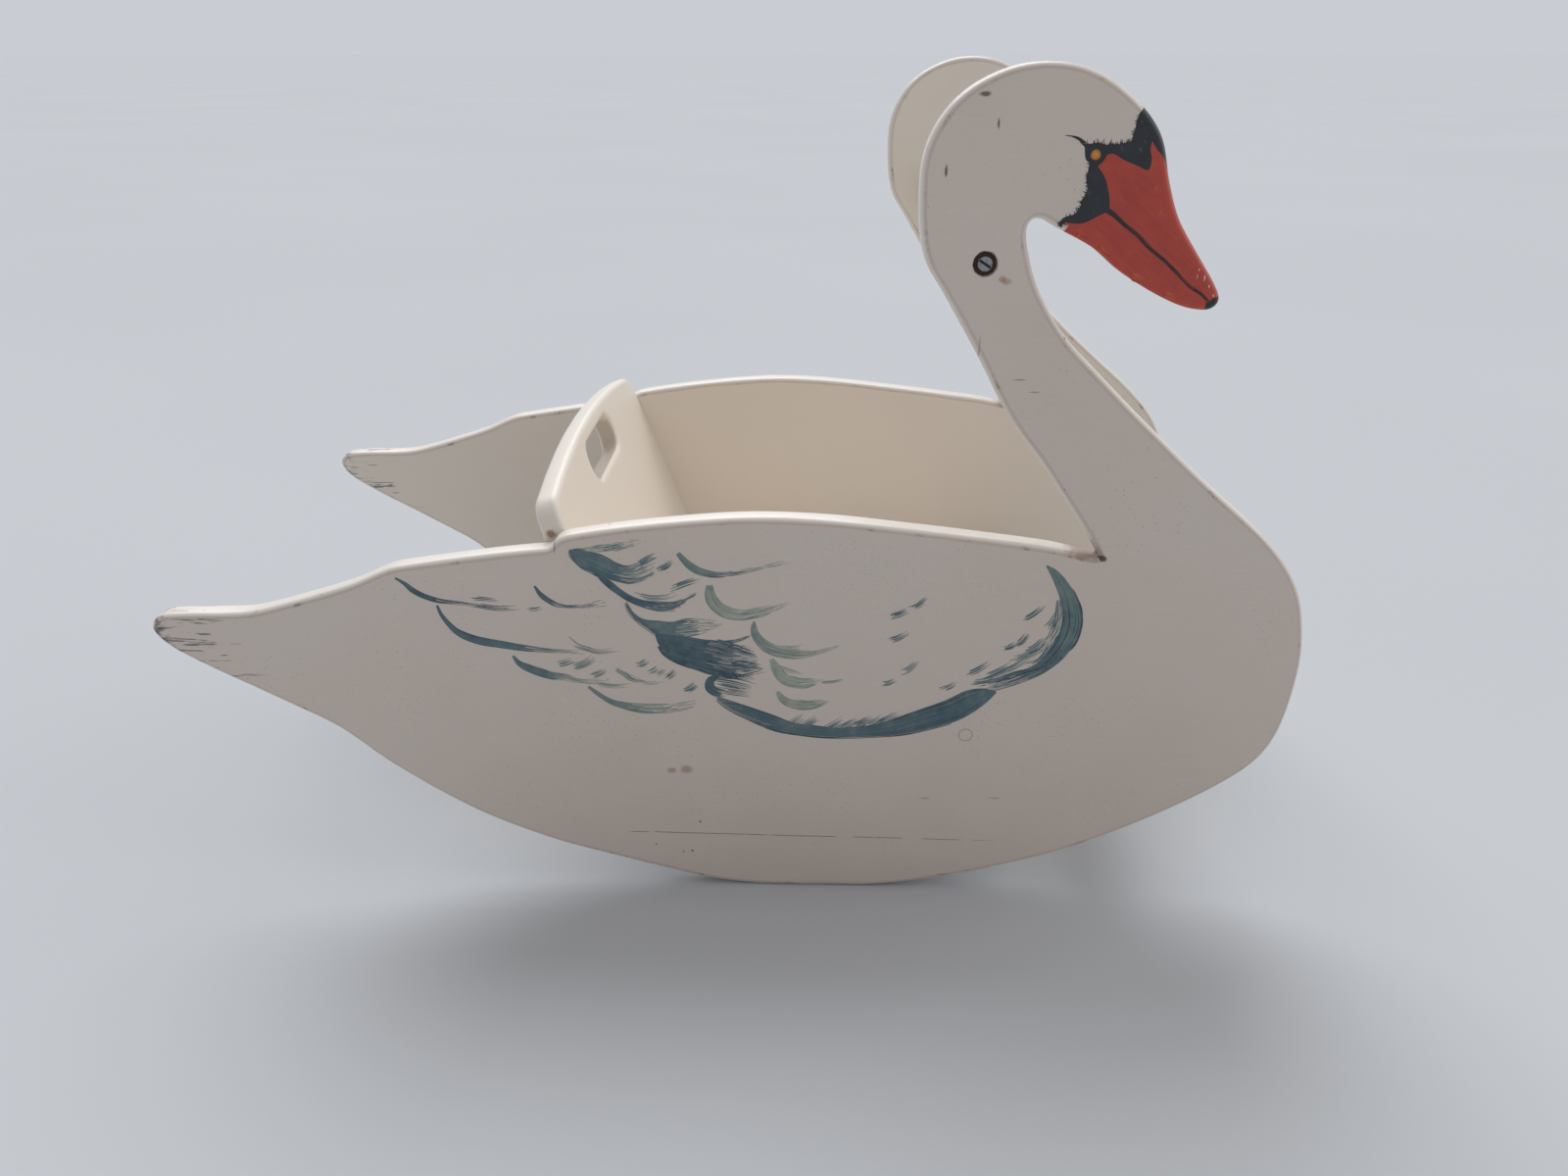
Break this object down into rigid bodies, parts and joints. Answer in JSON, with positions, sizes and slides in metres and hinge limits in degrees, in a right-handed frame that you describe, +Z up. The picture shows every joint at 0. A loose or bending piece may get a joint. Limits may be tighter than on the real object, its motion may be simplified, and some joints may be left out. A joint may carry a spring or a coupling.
{
  "type": "swan rocker",
  "caption": "Toddler's rocking seat: two swan-shaped boards with rocker bottoms carry a tilted seat, a leaning backrest with a hand hole, a foot board and a turning handlebar.",
  "frame": {"origin": "on the floor, below the middle of the overall length and width", "axes": "+X towards the beak, +Y towards the swan's left, +Z up"},
  "size_m": [0.825, 0.381, 0.595],
  "materials": {
    "painted_side": "aged cream brush paint, semi-gloss, with painted feathers, beak and mask",
    "painted_board": "aged cream brush paint, semi-gloss",
    "painted_plug": "wooden plug under the same cream paint",
    "dull_steel": "dull, oxidised",
    "rusty_steel": "dark, rusty"
  },
  "bodies": {
    "frame": {"side_board_right": "painted_side", "side_board_left": "painted_side", "seat_board": "painted_board", "back_board": "painted_board", "foot_board": "painted_board", "washer_right": "rusty_steel", "washer_left": "rusty_steel", "seat_screws_right": "dull_steel", "seat_plugs_right": "painted_plug", "seat_screws_left": "dull_steel", "seat_plugs_left": "painted_plug", "back_screws_right": "dull_steel", "back_plugs_right": "painted_plug", "back_screws_left": "dull_steel", "back_plugs_left": "painted_plug", "foot_screws_right": "dull_steel", "foot_plugs_right": "painted_plug", "foot_screws_left": "dull_steel", "foot_plugs_left": "painted_plug"},
    "handlebar": {"handlebar": "painted_board", "handle_screw_right": "dull_steel", "handle_screw_left": "dull_steel"}
  },
  "joints": [
    {"name": "handlebar_turn", "type": "hinge", "parent": "frame", "child": "handlebar", "pos_m": [0.169, 0, 0.482], "axis": [0, 1, 0], "continuous": true}
  ]
}
